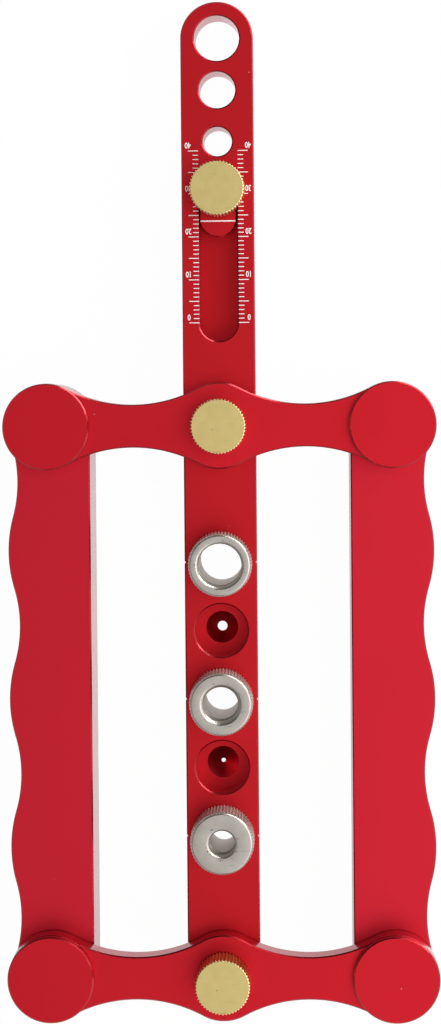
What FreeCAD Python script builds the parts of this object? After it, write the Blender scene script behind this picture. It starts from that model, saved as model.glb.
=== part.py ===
import FreeCAD, Part
import math
import os
import re

import Sketcher
from FreeCAD import Placement, Rotation, Vector

# Self centering doweling jig.
# Millimetres. The origin is on the middle drill bush's axis, in the plane of the centre bar's
# underside, which sits on the board's edge. +Z points up out of the board, +Y along the bar
# towards the scale, +X across the jig.

PARTS_FOLDER = "parts"
SMALLEST_DATUM = 1e-9

# Driving dimensions: name, value in millimetres (or a count), and what it measures.
DIMENSIONS = [
    ("bar_width", 16.9, "centre bar, across"),
    ("bar_thick", 10.0, "centre bar, height"),
    ("edge_chamfer", 0.3, "broken edge on every machined outline"),
    ("hole_pitch", 16.0, "grid of the drill bushes and marking holes"),
    ("pivot_y", 64.0, "arm pivot from the middle bush"),
    ("gauge_first", 66.0, "first gauge hole, from the upper arm pivot"),
    ("gauge_pitch", 12.0, "between gauge holes"),
    ("gauge_small_r", 3.4, "gauge hole for the small dowel"),
    ("gauge_middle_r", 4.25, "gauge hole for the middle dowel"),
    ("gauge_large_r", 5.25, "gauge hole for the large dowel"),
    ("slot_start", 19.3, "lower tip of the stop slot, from the upper arm pivot"),
    ("slot_length", 39.9, "stop slot, over its round ends"),
    ("slot_width", 9.0, "stop slot, across"),
    ("witness_depth", 0.35, "centre mark cut in the bar's sides"),
    ("witness_half", 0.3, "half width of a centre mark"),
    ("seat_r", 6.2, "bush seat in the bar"),
    ("marking_depth", 7.4, "counterbore of a marking hole"),
    ("pencil_r", 3.6, "rim of the pencil cone in a marking hole"),
    ("pencil_hole_r", 1.15, "hole at the foot of the upper pencil cone"),
    ("awl_hole_r", 0.5, "hole at the foot of the lower pencil cone"),
    ("cone_depth", 2.2, "height of the pencil cone"),
    ("bush_head_r", 7.4, "knurled head of a drill bush, over the teeth"),
    ("bush_head_high", 9.0, "drill bush above the bar"),
    ("bush_lip_r", 7.05, "plain ring at the top of a bush"),
    ("bush_lip_high", 0.6, "height of that plain ring"),
    ("bush_teeth", 60.0, "teeth of the bush's straight knurl"),
    ("bush_foot_chamfer", 0.4, "lead on the bush's lower end"),
    ("bore_large_r", 5.0, "bore of the large drill bush"),
    ("bore_middle_r", 4.0, "bore of the middle drill bush"),
    ("bore_small_r", 3.0, "bore of the small drill bush"),
    ("lead_large", 0.55, "lead into the large bush's bore"),
    ("lead_middle", 0.85, "lead into the middle bush's bore"),
    ("lead_small", 0.4, "lead into the small bush's bore"),
    ("tooth_depth", 0.35, "depth of every knurl groove"),
    ("arm_half_span", 40.0, "arm pivot to plate pivot"),
    ("arm_eye_r", 10.0, "round eye of an arm, and a pivot cap's disc"),
    ("arm_neck", 4.95, "half width of an arm between its eyes"),
    ("arm_thick", 5.0, "arm, height"),
    ("shim_thick", 0.3, "nylon washer under an arm"),
    ("shim_r", 9.0, "nylon washer, outer radius"),
    ("plate_under", 6.0, "side plate below the bar's underside"),
    ("plate_inner", 9.6, "side plate's clamping face from its pivot line, and its round ends"),
    ("wave_pitch", 34.7, "bulge to bulge along a plate's finger grip"),
    ("wave_peak", 9.7, "bulge from the pivot line"),
    ("wave_depth", 2.5, "bulge to hollow"),
    ("wave_bulge_r", 30.6, "radius of a bulge"),
    ("cap_thick", 1.6, "pivot cap's disc"),
    ("cap_gap", 0.1, "air between a cap and the arm that turns under it"),
    ("stem_r", 4.0, "pivot cap's stem"),
    ("stem_depth", 6.0, "stem in the plate"),
    ("running_gap", 0.05, "radial play where an arm turns"),
    ("screw_r", 2.0, "cap screw's shank"),
    ("screw_head_r", 4.0, "cap screw's countersunk head"),
    ("screw_head_high", 2.0, "height of that head"),
    ("screw_length", 16.0, "cap screw, over all"),
    ("screw_tip_room", 1.0, "tapped hole past the screw's tip"),
    ("hex_socket", 2.5, "hexagon socket, across flats"),
    ("hex_depth", 1.3, "depth of that socket"),
    ("sleeve_r", 4.5, "centre pivot sleeve, outside"),
    ("sleeve_bore_r", 3.1, "centre pivot sleeve, inside"),
    ("sleeve_depth", 5.0, "sleeve in the bar"),
    ("sleeve_short", 0.1, "sleeve ends this far below the arm's top"),
    ("knob_r", 6.4, "brass knob, over the teeth"),
    ("knob_high", 7.0, "height of a brass knob"),
    ("knob_teeth", 50.0, "teeth of the knob's straight knurl"),
    ("knob_chamfer", 0.35, "bright rim round a knob"),
    ("shank_r", 3.0, "threaded shank of a knob"),
    ("thread_gap", 0.05, "play drawn where a thread would be"),
    ("stop_shank", 9.0, "stop knob's shank below its head"),
    ("arm_shank", 14.0, "arm knob's shank below its head"),
    ("washer_r", 5.7, "captive washer under a knob"),
    ("washer_thick", 0.5, "height of that washer"),
    ("washer_bore_r", 3.1, "captive washer's bore"),
    ("tongue_tip", 43.9, "stop's tip at rest, from the upper arm pivot"),
    ("tongue_half", 4.375, "half width of the stop's tongue"),
    ("tongue_stud", 54.7, "stop knob's axis at rest, from the upper arm pivot"),
    ("tongue_low", 0.8, "tongue's top below the bar's top"),
    ("fence_half", 8.0, "half width of the stop's fence"),
    ("fence_long", 70.0, "length of the fence under the bar"),
    ("fence_face", 23.6, "fence's face from the large bush's axis, as the scale reads it"),
    ("fence_gap", 0.1, "air between the fence and the bar"),
]

doc = FreeCAD.newDocument("DowelingJig")
sizes = doc.addObject("Spreadsheet::Sheet", "Sizes")
for row, (alias, number, meaning) in enumerate(DIMENSIONS, start=1):
    sizes.set(f"A{row}", meaning)
    sizes.set(f"B{row}", str(number))
    sizes.setAlias(f"B{row}", alias)
doc.recompute()
ALIASES = {alias for alias, _, _ in DIMENSIONS}


def bound(text):
    """The expression with each dimension's name made a reference to the sheet."""
    return re.sub(r"[a-z_][a-z_0-9]*", lambda m: f"Sizes.{m[0]}" if m[0] in ALIASES else m[0], text)


def value(text):
    """What an expression comes to now."""
    return float(sizes.evalExpression(bound(text)))


# Bodies, sketches and their bound dimensions.

def new_body(label):
    body = doc.addObject("PartDesign::Body", label)
    body.Label = label
    return body


def place(body, x="0", y="0", z="0", turn=0.0):
    """Puts a body at a bound point, turned about Z by a number of degrees."""
    body.Placement = Placement(Vector(), Rotation(Vector(0, 0, 1), turn))
    for axis, text in (("x", x), ("y", y), ("z", z)):
        body.setExpression(f"Placement.Base.{axis}", bound(text))
    return body


def sketch_on(body, role, name, shift=("0", "0", "0")):
    """A sketch on one of the body's own planes, shifted in the sketch's own axes."""
    sketch = body.newObject("Sketcher::SketchObject", f"{body.Name}_{name}")
    plane = next(part for part in body.Origin.OriginFeatures if part.Role == role)
    sketch.AttachmentSupport = (plane, [""])
    sketch.MapMode = "FlatFace"
    for axis, text in zip("xyz", shift):
        if text != "0":
            sketch.setExpression(f".AttachmentOffset.Base.{axis}", bound(text))
    return sketch


def pin(sketch, kind, geometry, point, text):
    """Fixes one coordinate of a point from the sketch's origin."""
    number = value(text)
    if abs(number) < SMALLEST_DATUM:
        axis = -2 if kind == "DistanceX" else -1
        sketch.addConstraint(Sketcher.Constraint("PointOnObject", geometry, point, axis))
        return
    index = sketch.addConstraint(Sketcher.Constraint(kind, -1, 1, geometry, point, number))
    sketch.setExpression(f"Constraints[{index}]", bound(text))


def circle(sketch, x, y, radius):
    shape = Part.Circle(Vector(value(x), value(y), 0), Vector(0, 0, 1), value(radius))
    index = sketch.addGeometry(shape, False)
    pin(sketch, "DistanceX", index, 3, x)
    pin(sketch, "DistanceY", index, 3, y)
    rule = sketch.addConstraint(Sketcher.Constraint("Radius", index, value(radius)))
    sketch.setExpression(f"Constraints[{rule}]", bound(radius))


def line(x, y):
    """A straight stretch of an outline, to a point."""
    return {"to": (x, y)}


def arc(x, y, centre_x, centre_y, turn):
    """A round stretch of an outline, to a point: turn is 1 anticlockwise, -1 clockwise."""
    return {"to": (x, y), "centre": (centre_x, centre_y), "turn": turn}


def outline(sketch, start, *stretches):
    """A closed outline of lines and arcs, with every corner bound to the sheet."""
    corner = start
    ends = []
    for stretch in stretches:
        a = Vector(value(corner[0]), value(corner[1]), 0)
        b = Vector(value(stretch["to"][0]), value(stretch["to"][1]), 0)
        if "centre" in stretch:
            middle = Vector(value(stretch["centre"][0]), value(stretch["centre"][1]), 0)
            first, last = (a, b) if stretch["turn"] > 0 else (b, a)
            angles = [math.atan2(p.y - middle.y, p.x - middle.x) for p in (first, last)]
            ring = Part.Circle(middle, Vector(0, 0, 1), (a - middle).Length)
            index = sketch.addGeometry(Part.ArcOfCircle(ring, *angles), False)
            ends.append((index, 1, 2) if stretch["turn"] > 0 else (index, 2, 1))
            centre_x, centre_y = stretch["centre"]
            if abs(a.y - b.y) < abs(a.x - b.x):
                pin(sketch, "DistanceY", index, 3, centre_y)
            else:
                pin(sketch, "DistanceX", index, 3, centre_x)
        else:
            index = sketch.addGeometry(Part.LineSegment(a, b), False)
            ends.append((index, 1, 2))
        pin(sketch, "DistanceX", index, ends[-1][1], corner[0])
        pin(sketch, "DistanceY", index, ends[-1][1], corner[1])
        corner = stretch["to"]
    for (index, _, last), (following, first, _) in zip(ends, ends[1:] + ends[:1]):
        sketch.addConstraint(Sketcher.Constraint("Coincident", index, last, following, first))


def polygon(sketch, points):
    """A closed outline of straight lines only."""
    outline(sketch, points[0], *[line(*point) for point in points[1:] + points[:1]])


def stadium(sketch, low, high, radius):
    """A slot-shaped outline along Y, centred on X = 0, between two end centres."""
    outline(
        sketch,
        (radius, low),
        line(radius, high),
        arc(f"-({radius})", high, "0", high, 1),
        line(f"-({radius})", low),
        arc(radius, low, "0", low, 1),
    )


# Features. Each one is recomputed, and its volume is compared with what went before.

volumes = {}


def pad(body, sketch, height):
    feature = body.newObject("PartDesign::Pad", f"{sketch.Name}_pad")
    feature.Profile = sketch
    feature.setExpression("Length", bound(height))
    return settled(body, feature, 1)


def pocket(body, sketch, depth=None):
    """Cuts the sketch through everything, or upwards to a depth."""
    feature = body.newObject("PartDesign::Pocket", f"{sketch.Name}_pocket")
    feature.Profile = sketch
    feature.Reversed = True
    if depth is None:
        feature.Type = "ThroughAll"
    else:
        feature.setExpression("Length", bound(depth))
    return settled(body, feature, -1)


def turned(body, name, points, x="0", y="0", cut=False):
    """Revolves (radius, height) points about a vertical axis through a point of the body."""
    sketch = sketch_on(body, "XZ_Plane", name, (x, "0", f"-({y})" if y != "0" else "0"))
    polygon(sketch, points)
    kind = "PartDesign::Groove" if cut else "PartDesign::Revolution"
    feature = body.newObject(kind, f"{sketch.Name}_turned")
    feature.Profile = sketch
    feature.ReferenceAxis = (sketch, ["V_Axis"])
    feature.Angle = 360.0
    return settled(body, feature, -1 if cut else 1)


def chamfer(body, chosen, width="edge_chamfer"):
    """Breaks the edges that a test chooses."""
    base = body.Tip
    names = [f"Edge{i}" for i, edge in enumerate(base.Shape.Edges, start=1) if chosen(edge)]
    feature = body.newObject("PartDesign::Chamfer", f"{base.Name}_chamfer")
    feature.Base = (base, names)
    feature.setExpression("Size", bound(width))
    return settled(body, feature, -1)


def settled(body, feature, sign):
    """Recomputes a feature and stops if it did not add, or cut, any volume."""
    before = volumes.get(body.Name, 0.0)
    doc.recompute()
    after = feature.Shape.Volume
    if (after - before) * sign <= 0:
        raise ValueError(f"{feature.Name} changed nothing: {before} to {after}")
    volumes[body.Name] = after
    return feature


def level(edge, height):
    """True for an edge that lies flat at a height."""
    box = edge.BoundBox
    return abs(box.ZMin - height) < 1e-6 and abs(box.ZMax - height) < 1e-6


def knurl(body, radius, bottom, height, teeth):
    """Cuts a ring of upright V grooves round a turned head."""
    sketch = sketch_on(body, "XY_Plane", "groove", ("0", "0", bottom))
    polygon(sketch, [
        (f"{radius} - tooth_depth", "0"),
        (f"{radius} + tooth_depth", "-2 * tooth_depth"),
        (f"{radius} + tooth_depth", "2 * tooth_depth"),
    ])
    groove = pocket(body, sketch, height)
    ring = body.newObject("PartDesign::PolarPattern", f"{body.Name}_knurl")
    ring.Originals = [groove]
    ring.Axis = (next(part for part in body.Origin.OriginFeatures if part.Role == "Z_Axis"), [""])
    ring.Angle = 360.0
    ring.setExpression("Occurrences", bound(teeth))
    body.Tip = ring
    return settled(body, ring, -1)


def group(label, bodies):
    """Identical pieces that share one node, as separate solids."""
    compound = doc.addObject("Part::Compound", label)
    compound.Label = label
    compound.Links = bodies
    return compound


# The centre bar.

def centre_bar():
    body = new_body("centre_bar")
    half = "bar_width / 2"
    top = "bar_thick"
    blank = sketch_on(body, "XY_Plane", "blank")
    stadium(blank, "-pivot_y", "pivot_y + gauge_first + 2 * gauge_pitch", half)
    pad(body, blank, top)
    chamfer(body, lambda edge: level(edge, 0) or level(edge, value(top)))

    slot = sketch_on(body, "XY_Plane", "slot")
    slot_r = "slot_width / 2"
    slot_low = f"pivot_y + slot_start + {slot_r}"
    slot_high = f"pivot_y + slot_start + slot_length - {slot_r}"
    stadium(slot, slot_low, slot_high, slot_r)
    pocket(body, slot)
    inside = value(slot_r) + 0.01
    chamfer(body, lambda edge: level(edge, value(top)) and abs(edge.BoundBox.XMax) < inside
            and abs(edge.BoundBox.XMin) < inside and edge.BoundBox.YMin > value("pivot_y"))

    witness = sketch_on(body, "XY_Plane", "witness")
    for step in (-1, 0, 1):
        for side in (-1, 1):
            y = f"{2 * step} * hole_pitch"
            polygon(witness, [
                (f"{side} * ({half} - witness_depth)", y if step else "0"),
                (f"{side} * ({half} + witness_depth)", f"{y} - 2 * witness_half"),
                (f"{side} * ({half} + witness_depth)", f"{y} + 2 * witness_half"),
            ])
    pocket(body, witness)

    for name, step in (("large", 2), ("middle", 0), ("small", -2)):
        turned(body, f"seat_{name}", [
            ("0", "0"), ("seat_r", "0"), ("seat_r", f"{top} - edge_chamfer"),
            ("seat_r + 2 * edge_chamfer", f"{top} + edge_chamfer"), ("0", f"{top} + edge_chamfer"),
        ], y=f"{step} * hole_pitch" if step else "0", cut=True)
    for name, step, hole_r in (("pencil", 1, "pencil_hole_r"), ("awl", -1, "awl_hole_r")):
        floor = f"{top} - marking_depth"
        turned(body, f"marking_{name}", [
            ("0", "0"), (hole_r, "0"), (hole_r, f"{floor} - cone_depth"), ("pencil_r", floor),
            ("seat_r", floor), ("seat_r", f"{top} - edge_chamfer"),
            ("seat_r + 2 * edge_chamfer", f"{top} + edge_chamfer"), ("0", f"{top} + edge_chamfer"),
        ], y=f"{step} * hole_pitch", cut=True)
    for name, step, hole_r in (("small", 0, "gauge_small_r"), ("middle", 1, "gauge_middle_r"),
                               ("large", 2, "gauge_large_r")):
        turned(body, f"gauge_{name}", [
            ("0", "-edge_chamfer"), (f"{hole_r} + 2 * edge_chamfer", "-edge_chamfer"),
            (hole_r, "edge_chamfer"), (hole_r, f"{top} - edge_chamfer"),
            (f"{hole_r} + 2 * edge_chamfer", f"{top} + edge_chamfer"), ("0", f"{top} + edge_chamfer"),
        ], y=f"pivot_y + gauge_first + {step} * gauge_pitch", cut=True)
    for name, side in (("upper", 1), ("lower", -1)):
        turned(body, f"pivot_{name}", [
            ("0", "0"), ("shank_r + thread_gap", "0"), ("shank_r + thread_gap", f"{top} - sleeve_depth"),
            ("sleeve_r", f"{top} - sleeve_depth"), ("sleeve_r", top), ("0", top),
        ], y=f"{side} * pivot_y", cut=True)
    return body


# Drill bushes, with the bar's underside at height 0.

def drill_bush(label, bore_r, lead, step):
    body = new_body(label)
    bottom = "bar_thick"
    top = "bar_thick + bush_head_high"
    turned(body, "profile", [
        (bore_r, "0"), ("seat_r - bush_foot_chamfer", "0"), ("seat_r", "bush_foot_chamfer"),
        ("seat_r", bottom), ("bush_head_r", bottom), ("bush_head_r", f"{top} - bush_lip_high"),
        ("bush_lip_r", f"{top} - bush_lip_high"), ("bush_lip_r", f"{top} - edge_chamfer"),
        ("bush_lip_r - edge_chamfer", top), (f"{bore_r} + {lead}", top), (bore_r, f"{top} - {lead}"),
    ])
    knurl(body, "bush_head_r", bottom, "bush_head_high - bush_lip_high", "bush_teeth")
    return place(body, y=f"{step} * hole_pitch")


# Arms, with their underside at height 0 and the centre pivot at the origin.

def arm(label, side):
    body = new_body(label)
    eye = "arm_eye_r"
    half = "(arm_half_span / 2)"
    hollow = f"(({half}^2 + arm_neck^2 - {eye}^2) / (2 * ({eye} - arm_neck)))"
    hollow_y = f"({hollow} + arm_neck)"
    lean_x = f"({half} * {eye} / ({hollow} + {eye}))"
    lean_y = f"({hollow_y} * {eye} / ({hollow} + {eye}))"
    blank = sketch_on(body, "XY_Plane", "blank")
    span = "arm_half_span"
    outline(
        blank,
        (f"{span} - {lean_x}", f"-{lean_y}"),
        arc(f"{span} - {lean_x}", lean_y, span, "0", 1),
        arc(lean_x, lean_y, half, hollow_y, -1),
        arc(f"-{lean_x}", lean_y, "0", "0", 1),
        arc(f"{lean_x} - {span}", lean_y, f"-{half}", hollow_y, -1),
        arc(f"{lean_x} - {span}", f"-{lean_y}", f"-{span}", "0", 1),
        arc(f"-{lean_x}", f"-{lean_y}", f"-{half}", f"-{hollow_y}", -1),
        arc(lean_x, f"-{lean_y}", "0", "0", 1),
        arc(f"{span} - {lean_x}", f"-{lean_y}", half, f"-{hollow_y}", -1),
    )
    pad(body, blank, "arm_thick")
    chamfer(body, lambda edge: level(edge, 0) or level(edge, value("arm_thick")))
    bores = sketch_on(body, "XY_Plane", "bores")
    circle(bores, "0", "0", "sleeve_r + running_gap")
    circle(bores, span, "0", "stem_r + running_gap")
    circle(bores, f"-{span}", "0", "stem_r + running_gap")
    pocket(body, bores)
    return place(body, y=f"{side} * pivot_y", z="bar_thick + shim_thick")


# Side plates, with their underside at height 0 and the finger grip towards +X.

def side_plate(label, turn):
    body = new_body(label)
    high = "bar_thick + plate_under"
    eye = "plate_inner"
    half_pitch = "(wave_pitch / 2)"
    reach = f"((wave_depth^2 + {half_pitch}^2) / (2 * wave_depth))"
    hollow_r = f"({reach} - wave_bulge_r)"
    bulge_x = "(wave_peak - wave_bulge_r)"
    hollow_x = f"(wave_peak - wave_depth + {hollow_r})"
    share = f"(wave_bulge_r / {reach})"
    joint_x = f"({bulge_x} + ({hollow_x} - {bulge_x}) * {share})"
    joint_y = f"({half_pitch} * {share})"

    # The last hollow touches both the outer bulge and the plate's round end.
    run_x = f"(-{bulge_x})"
    run_y = "(pivot_y - wave_pitch)"
    run = f"sqrt({run_x}^2 + {run_y}^2)"
    along = f"(({reach}^2 - ({hollow_r} + {eye})^2 + {run}^2) / (2 * {run}))"
    aside = f"sqrt({reach}^2 - {along}^2)"
    last_x = f"({bulge_x} + {along} * {run_x} / {run} + {aside} * {run_y} / {run})"
    last_y = f"(wave_pitch + {along} * {run_y} / {run} - {aside} * {run_x} / {run})"
    outer_x = f"({bulge_x} + ({last_x} - {bulge_x}) * {share})"
    outer_y = f"(wave_pitch + ({last_y} - wave_pitch) * {share})"
    end_share = f"({eye} / ({hollow_r} + {eye}))"
    touch_x = f"({last_x} * {end_share})"
    touch_y = f"(pivot_y + ({last_y} - pivot_y) * {end_share})"

    blank = sketch_on(body, "XY_Plane", "blank")
    outline(
        blank,
        (f"-{eye}", "-pivot_y"),
        arc(touch_x, f"-{touch_y}", "0", "-pivot_y", 1),
        arc(outer_x, f"-{outer_y}", last_x, f"-{last_y}", -1),
        arc(joint_x, f"-(wave_pitch - {joint_y})", bulge_x, "-wave_pitch", 1),
        arc(joint_x, f"-{joint_y}", hollow_x, f"-{half_pitch}", -1),
        arc(joint_x, joint_y, bulge_x, "0", 1),
        arc(joint_x, f"wave_pitch - {joint_y}", hollow_x, half_pitch, -1),
        arc(outer_x, outer_y, bulge_x, "wave_pitch", 1),
        arc(touch_x, touch_y, last_x, last_y, -1),
        arc(f"-{eye}", "pivot_y", "0", "pivot_y", 1),
        line(f"-{eye}", "-pivot_y"),
    )
    pad(body, blank, high)
    chamfer(body, lambda edge: level(edge, 0) or level(edge, value(high)))
    for name, side in (("upper", 1), ("lower", -1)):
        turned(body, f"pivot_{name}", [
            ("0", "0"), ("screw_head_r", "0"), ("screw_r", "screw_head_high"),
            ("screw_r", f"{high} - stem_depth"), ("stem_r", f"{high} - stem_depth"),
            ("stem_r", high), ("0", high),
        ], y=f"{side} * pivot_y", cut=True)
    x = "arm_half_span" if turn == 0 else "-arm_half_span"
    return place(body, x=x, z="-plate_under", turn=turn)


# Pivot caps, with the plate's top at height 0.

def pivot_cap(label, x_side, y_side):
    body = new_body(label)
    under = "shim_thick + arm_thick + cap_gap"
    top = f"{under} + cap_thick"
    turned(body, "profile", [
        ("screw_r", "-stem_depth"), ("stem_r", "-stem_depth"), ("stem_r", under),
        ("arm_eye_r - edge_chamfer", under), ("arm_eye_r", f"{under} + edge_chamfer"),
        ("arm_eye_r", f"{top} - edge_chamfer"), ("arm_eye_r - edge_chamfer", top), ("0", top),
        ("0", "screw_length - plate_under - bar_thick + screw_tip_room"),
        ("screw_r", "screw_length - plate_under - bar_thick + screw_tip_room"),
    ])
    return place(body, x=f"{x_side} * arm_half_span", y=f"{y_side} * pivot_y", z="bar_thick")


# Small hardware.

def cap_screw(name, x_side, y_side):
    body = new_body(name)
    turned(body, "profile", [
        ("0", "0"), ("screw_head_r", "0"), ("screw_r", "screw_head_high"),
        ("screw_r", "screw_length - edge_chamfer"), ("screw_r - edge_chamfer", "screw_length"),
        ("0", "screw_length"),
    ])
    socket = sketch_on(body, "XY_Plane", "socket")
    flat = "hex_socket / 2"
    point = "hex_socket / sqrt(3)"
    polygon(socket, [
        (point, "0"), (f"{point} / 2", flat), (f"-{point} / 2", flat),
        (f"-{point}", "0"), (f"-{point} / 2", f"-{flat}"), (f"{point} / 2", f"-{flat}"),
    ])
    pocket(body, socket, "hex_depth")
    return place(body, x=f"{x_side} * arm_half_span", y=f"{y_side} * pivot_y", z="-plate_under")


def ring(name, inner, outer, high, x="0", y="0", z="0"):
    """A plain washer or sleeve."""
    body = new_body(name)
    turned(body, "profile", [(inner, "0"), (outer, "0"), (outer, high), (inner, high)])
    return place(body, x, y, z)


def lock_knob(label, shank, y, z):
    """A knurled brass knob and its threaded shank, with the head's underside at height 0."""
    body = new_body(label)
    turned(body, "profile", [
        ("0", f"-{shank}"), ("shank_r - knob_chamfer", f"-{shank}"),
        ("shank_r", f"knob_chamfer - {shank}"), ("shank_r", "0"),
        ("knob_r - knob_chamfer", "0"), ("knob_r", "knob_chamfer"),
        ("knob_r", "knob_high - knob_chamfer"), ("knob_r - knob_chamfer", "knob_high"),
        ("0", "knob_high"),
    ])
    knurl(body, "knob_r", "0", "knob_high", "knob_teeth")
    return place(body, y=y, z=z)


# The sliding end stop, in the bar's own coordinates.

def stop_slider():
    body = new_body("stop_slider")
    fence = sketch_on(body, "XY_Plane", "fence", ("0", "0", "-plate_under"))
    face = "2 * hole_pitch + fence_face"
    polygon(fence, [
        ("-fence_half", face), ("fence_half", face),
        ("fence_half", f"{face} + fence_long"), ("-fence_half", f"{face} + fence_long"),
    ])
    pad(body, fence, "plate_under - fence_gap")
    chamfer(body, lambda edge: True)
    tongue = sketch_on(body, "XY_Plane", "tongue", ("0", "0", "-fence_gap"))
    stadium(tongue, "pivot_y + tongue_tip + tongue_half", "pivot_y + tongue_stud", "tongue_half")
    pad(body, tongue, "fence_gap + bar_thick - tongue_low")
    chamfer(body, lambda edge: level(edge, value("bar_thick - tongue_low")))
    turned(body, "tapped", [
        ("0", "edge_chamfer"), ("shank_r + thread_gap", "edge_chamfer"),
        ("shank_r + thread_gap", "bar_thick"), ("0", "bar_thick"),
    ], y="pivot_y + tongue_stud", cut=True)
    return body


arm_top = "bar_thick + shim_thick + arm_thick"
stop_y = "pivot_y + tongue_stud"
sleeve_long = "sleeve_depth + shim_thick + arm_thick - sleeve_short"
bar_shim_r = "bar_width / 2 - edge_chamfer"
ends = (("upper", 1), ("lower", -1))
nodes = [
    centre_bar(),
    drill_bush("bush_10mm", "bore_large_r", "lead_large", 2),
    drill_bush("bush_8mm", "bore_middle_r", "lead_middle", 0),
    drill_bush("bush_6mm", "bore_small_r", "lead_small", -2),
    arm("upper_arm", 1),
    arm("lower_arm", -1),
    side_plate("left_plate", 180),
    side_plate("right_plate", 0),
]
nodes.append(group("pivot_sleeves", [
    ring(f"pivot_sleeve_{name}", "sleeve_bore_r", "sleeve_r", sleeve_long,
         y=f"{y_side} * pivot_y", z="bar_thick - sleeve_depth")
    for name, y_side in ends
]))
nodes.append(group("bar_shims", [
    ring(f"bar_shim_{name}", "sleeve_r", bar_shim_r, "shim_thick",
         y=f"{y_side} * pivot_y", z="bar_thick")
    for name, y_side in ends
]))
for hand, x_side in (("left", -1), ("right", 1)):
    for name, y_side in ends:
        nodes.append(pivot_cap(f"{name}_{hand}_cap", x_side, y_side))
    nodes.append(group(f"{hand}_cap_screws", [
        cap_screw(f"{hand}_cap_screw_{name}", x_side, y_side) for name, y_side in ends
    ]))
    nodes.append(group(f"{hand}_plate_shims", [
        ring(f"{hand}_plate_shim_{name}", "stem_r", "shim_r", "shim_thick", f"{x_side} * arm_half_span",
             f"{y_side} * pivot_y", "bar_thick")
        for name, y_side in ends
    ]))
nodes.append(stop_slider())
for name, y, under, shank in (
    ("stop", stop_y, "bar_thick", "stop_shank"),
    ("upper", "pivot_y", arm_top, "arm_shank"),
    ("lower", "-pivot_y", arm_top, "arm_shank"),
):
    nodes.append(ring(f"{name}_knob_washer", "washer_bore_r", "washer_r", "washer_thick", y=y, z=under))
    nodes.append(lock_knob(f"{name}_knob", shank, y, f"{under} + washer_thick"))

# Checks, then one file for each node.

doc.recompute()
broken = [item.Name for item in doc.Objects if "Invalid" in item.State or "Error" in item.State]
if broken:
    raise ValueError(f"failed objects: {broken}")
for node in nodes:
    if node.Shape.isNull() or not node.Shape.isValid():
        raise ValueError(f"{node.Label} has no valid shape")

os.makedirs(PARTS_FOLDER, exist_ok=True)
for node in nodes:
    node.Shape.exportStep(f"{PARTS_FOLDER}/{node.Label}.step")
    print(node.Label, len(node.Shape.Solids), round(node.Shape.Volume, 2))
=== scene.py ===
"""The self centering doweling jig with its finishes, printed scale and studio.

Sizes held by the classes are millimetres. Every finished mesh is in metres, in the frame of the
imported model: the origin on the middle drill bush's axis in the plane of the bar's underside, +Z up
out of the board, +Y along the bar towards its scale and +X across the jig.
"""

import logging
import math
from abc import ABC, abstractmethod
from collections.abc import Callable, Sequence
from dataclasses import KW_ONLY, dataclass
from enum import Enum

import bmesh
import bpy
from bmesh.types import BMEdge, BMesh, BMFace, BMVert
from mathutils import Color, Matrix, Vector


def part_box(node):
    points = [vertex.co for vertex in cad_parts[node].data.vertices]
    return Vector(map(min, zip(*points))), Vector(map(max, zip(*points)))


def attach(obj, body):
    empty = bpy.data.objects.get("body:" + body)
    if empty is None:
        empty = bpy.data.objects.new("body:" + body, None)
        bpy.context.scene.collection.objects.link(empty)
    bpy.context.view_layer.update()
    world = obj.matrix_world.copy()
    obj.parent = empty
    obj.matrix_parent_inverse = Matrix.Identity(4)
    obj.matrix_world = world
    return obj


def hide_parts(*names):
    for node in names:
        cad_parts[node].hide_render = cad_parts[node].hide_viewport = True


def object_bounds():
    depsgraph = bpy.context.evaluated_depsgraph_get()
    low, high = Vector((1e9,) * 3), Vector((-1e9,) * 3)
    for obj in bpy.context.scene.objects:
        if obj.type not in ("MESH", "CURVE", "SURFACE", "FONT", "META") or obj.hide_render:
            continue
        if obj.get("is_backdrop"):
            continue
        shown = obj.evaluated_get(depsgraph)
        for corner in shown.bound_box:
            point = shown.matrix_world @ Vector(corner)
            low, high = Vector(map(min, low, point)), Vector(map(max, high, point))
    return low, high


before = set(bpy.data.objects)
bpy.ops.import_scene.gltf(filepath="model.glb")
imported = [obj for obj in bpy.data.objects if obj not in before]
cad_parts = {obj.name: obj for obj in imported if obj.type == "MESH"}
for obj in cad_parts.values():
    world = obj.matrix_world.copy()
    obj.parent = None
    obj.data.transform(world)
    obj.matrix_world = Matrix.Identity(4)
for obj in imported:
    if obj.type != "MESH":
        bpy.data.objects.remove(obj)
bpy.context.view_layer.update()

MM = 0.001  # a millimetre, in the metres of the finished meshes
WELD = 1e-4  # points nearer than this, in millimetres, are one
SMOOTH_BELOW = math.radians(29)  # an edge that bends less than this is shaded smooth
FLAT = 0.97  # a flat face's normal has at least this height
UPRIGHT = 0.3  # a wall's normal has less than this height
WAVE_UNIT = 2 * math.pi / 20  # scale of the wave texture at which a ring is one unit wide
BUSHES = {10: 0.5, 8: 0.75, 6: 0.4}  # the size of each bush, and the lead into its bore
TOOTH_ROWS = 4  # rows of a knurled wall to each tooth
CLEAR = 1.0  # how far a cutting tool reaches past what it cuts, in millimetres
FIRST, SECOND, MIXED = 6, 7, 2  # the Mix node's two colours, and the output that mixes them

log = logging.getLogger("doweling_jig")

Point = tuple[float, float]
Triple = tuple[float, float, float]
Levels = tuple[float, float, float, float]  # two values, and the levels that stand for them
Corner = tuple[float, ...]  # radius, height and, where it is rounded, how far
Finish = tuple[bpy.types.Material, ...]
Pattern = tuple[bpy.types.NodeSocket | tuple, bpy.types.NodeSocket, bpy.types.NodeSocket]


class Slot(Enum):
    """Material slots for the pieces' finishes."""

    RED = "red_anodised"
    NICKEL = "nickel_plate"
    BRASS = "brass"
    STEEL = "steel"
    NYLON = "nylon"


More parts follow.
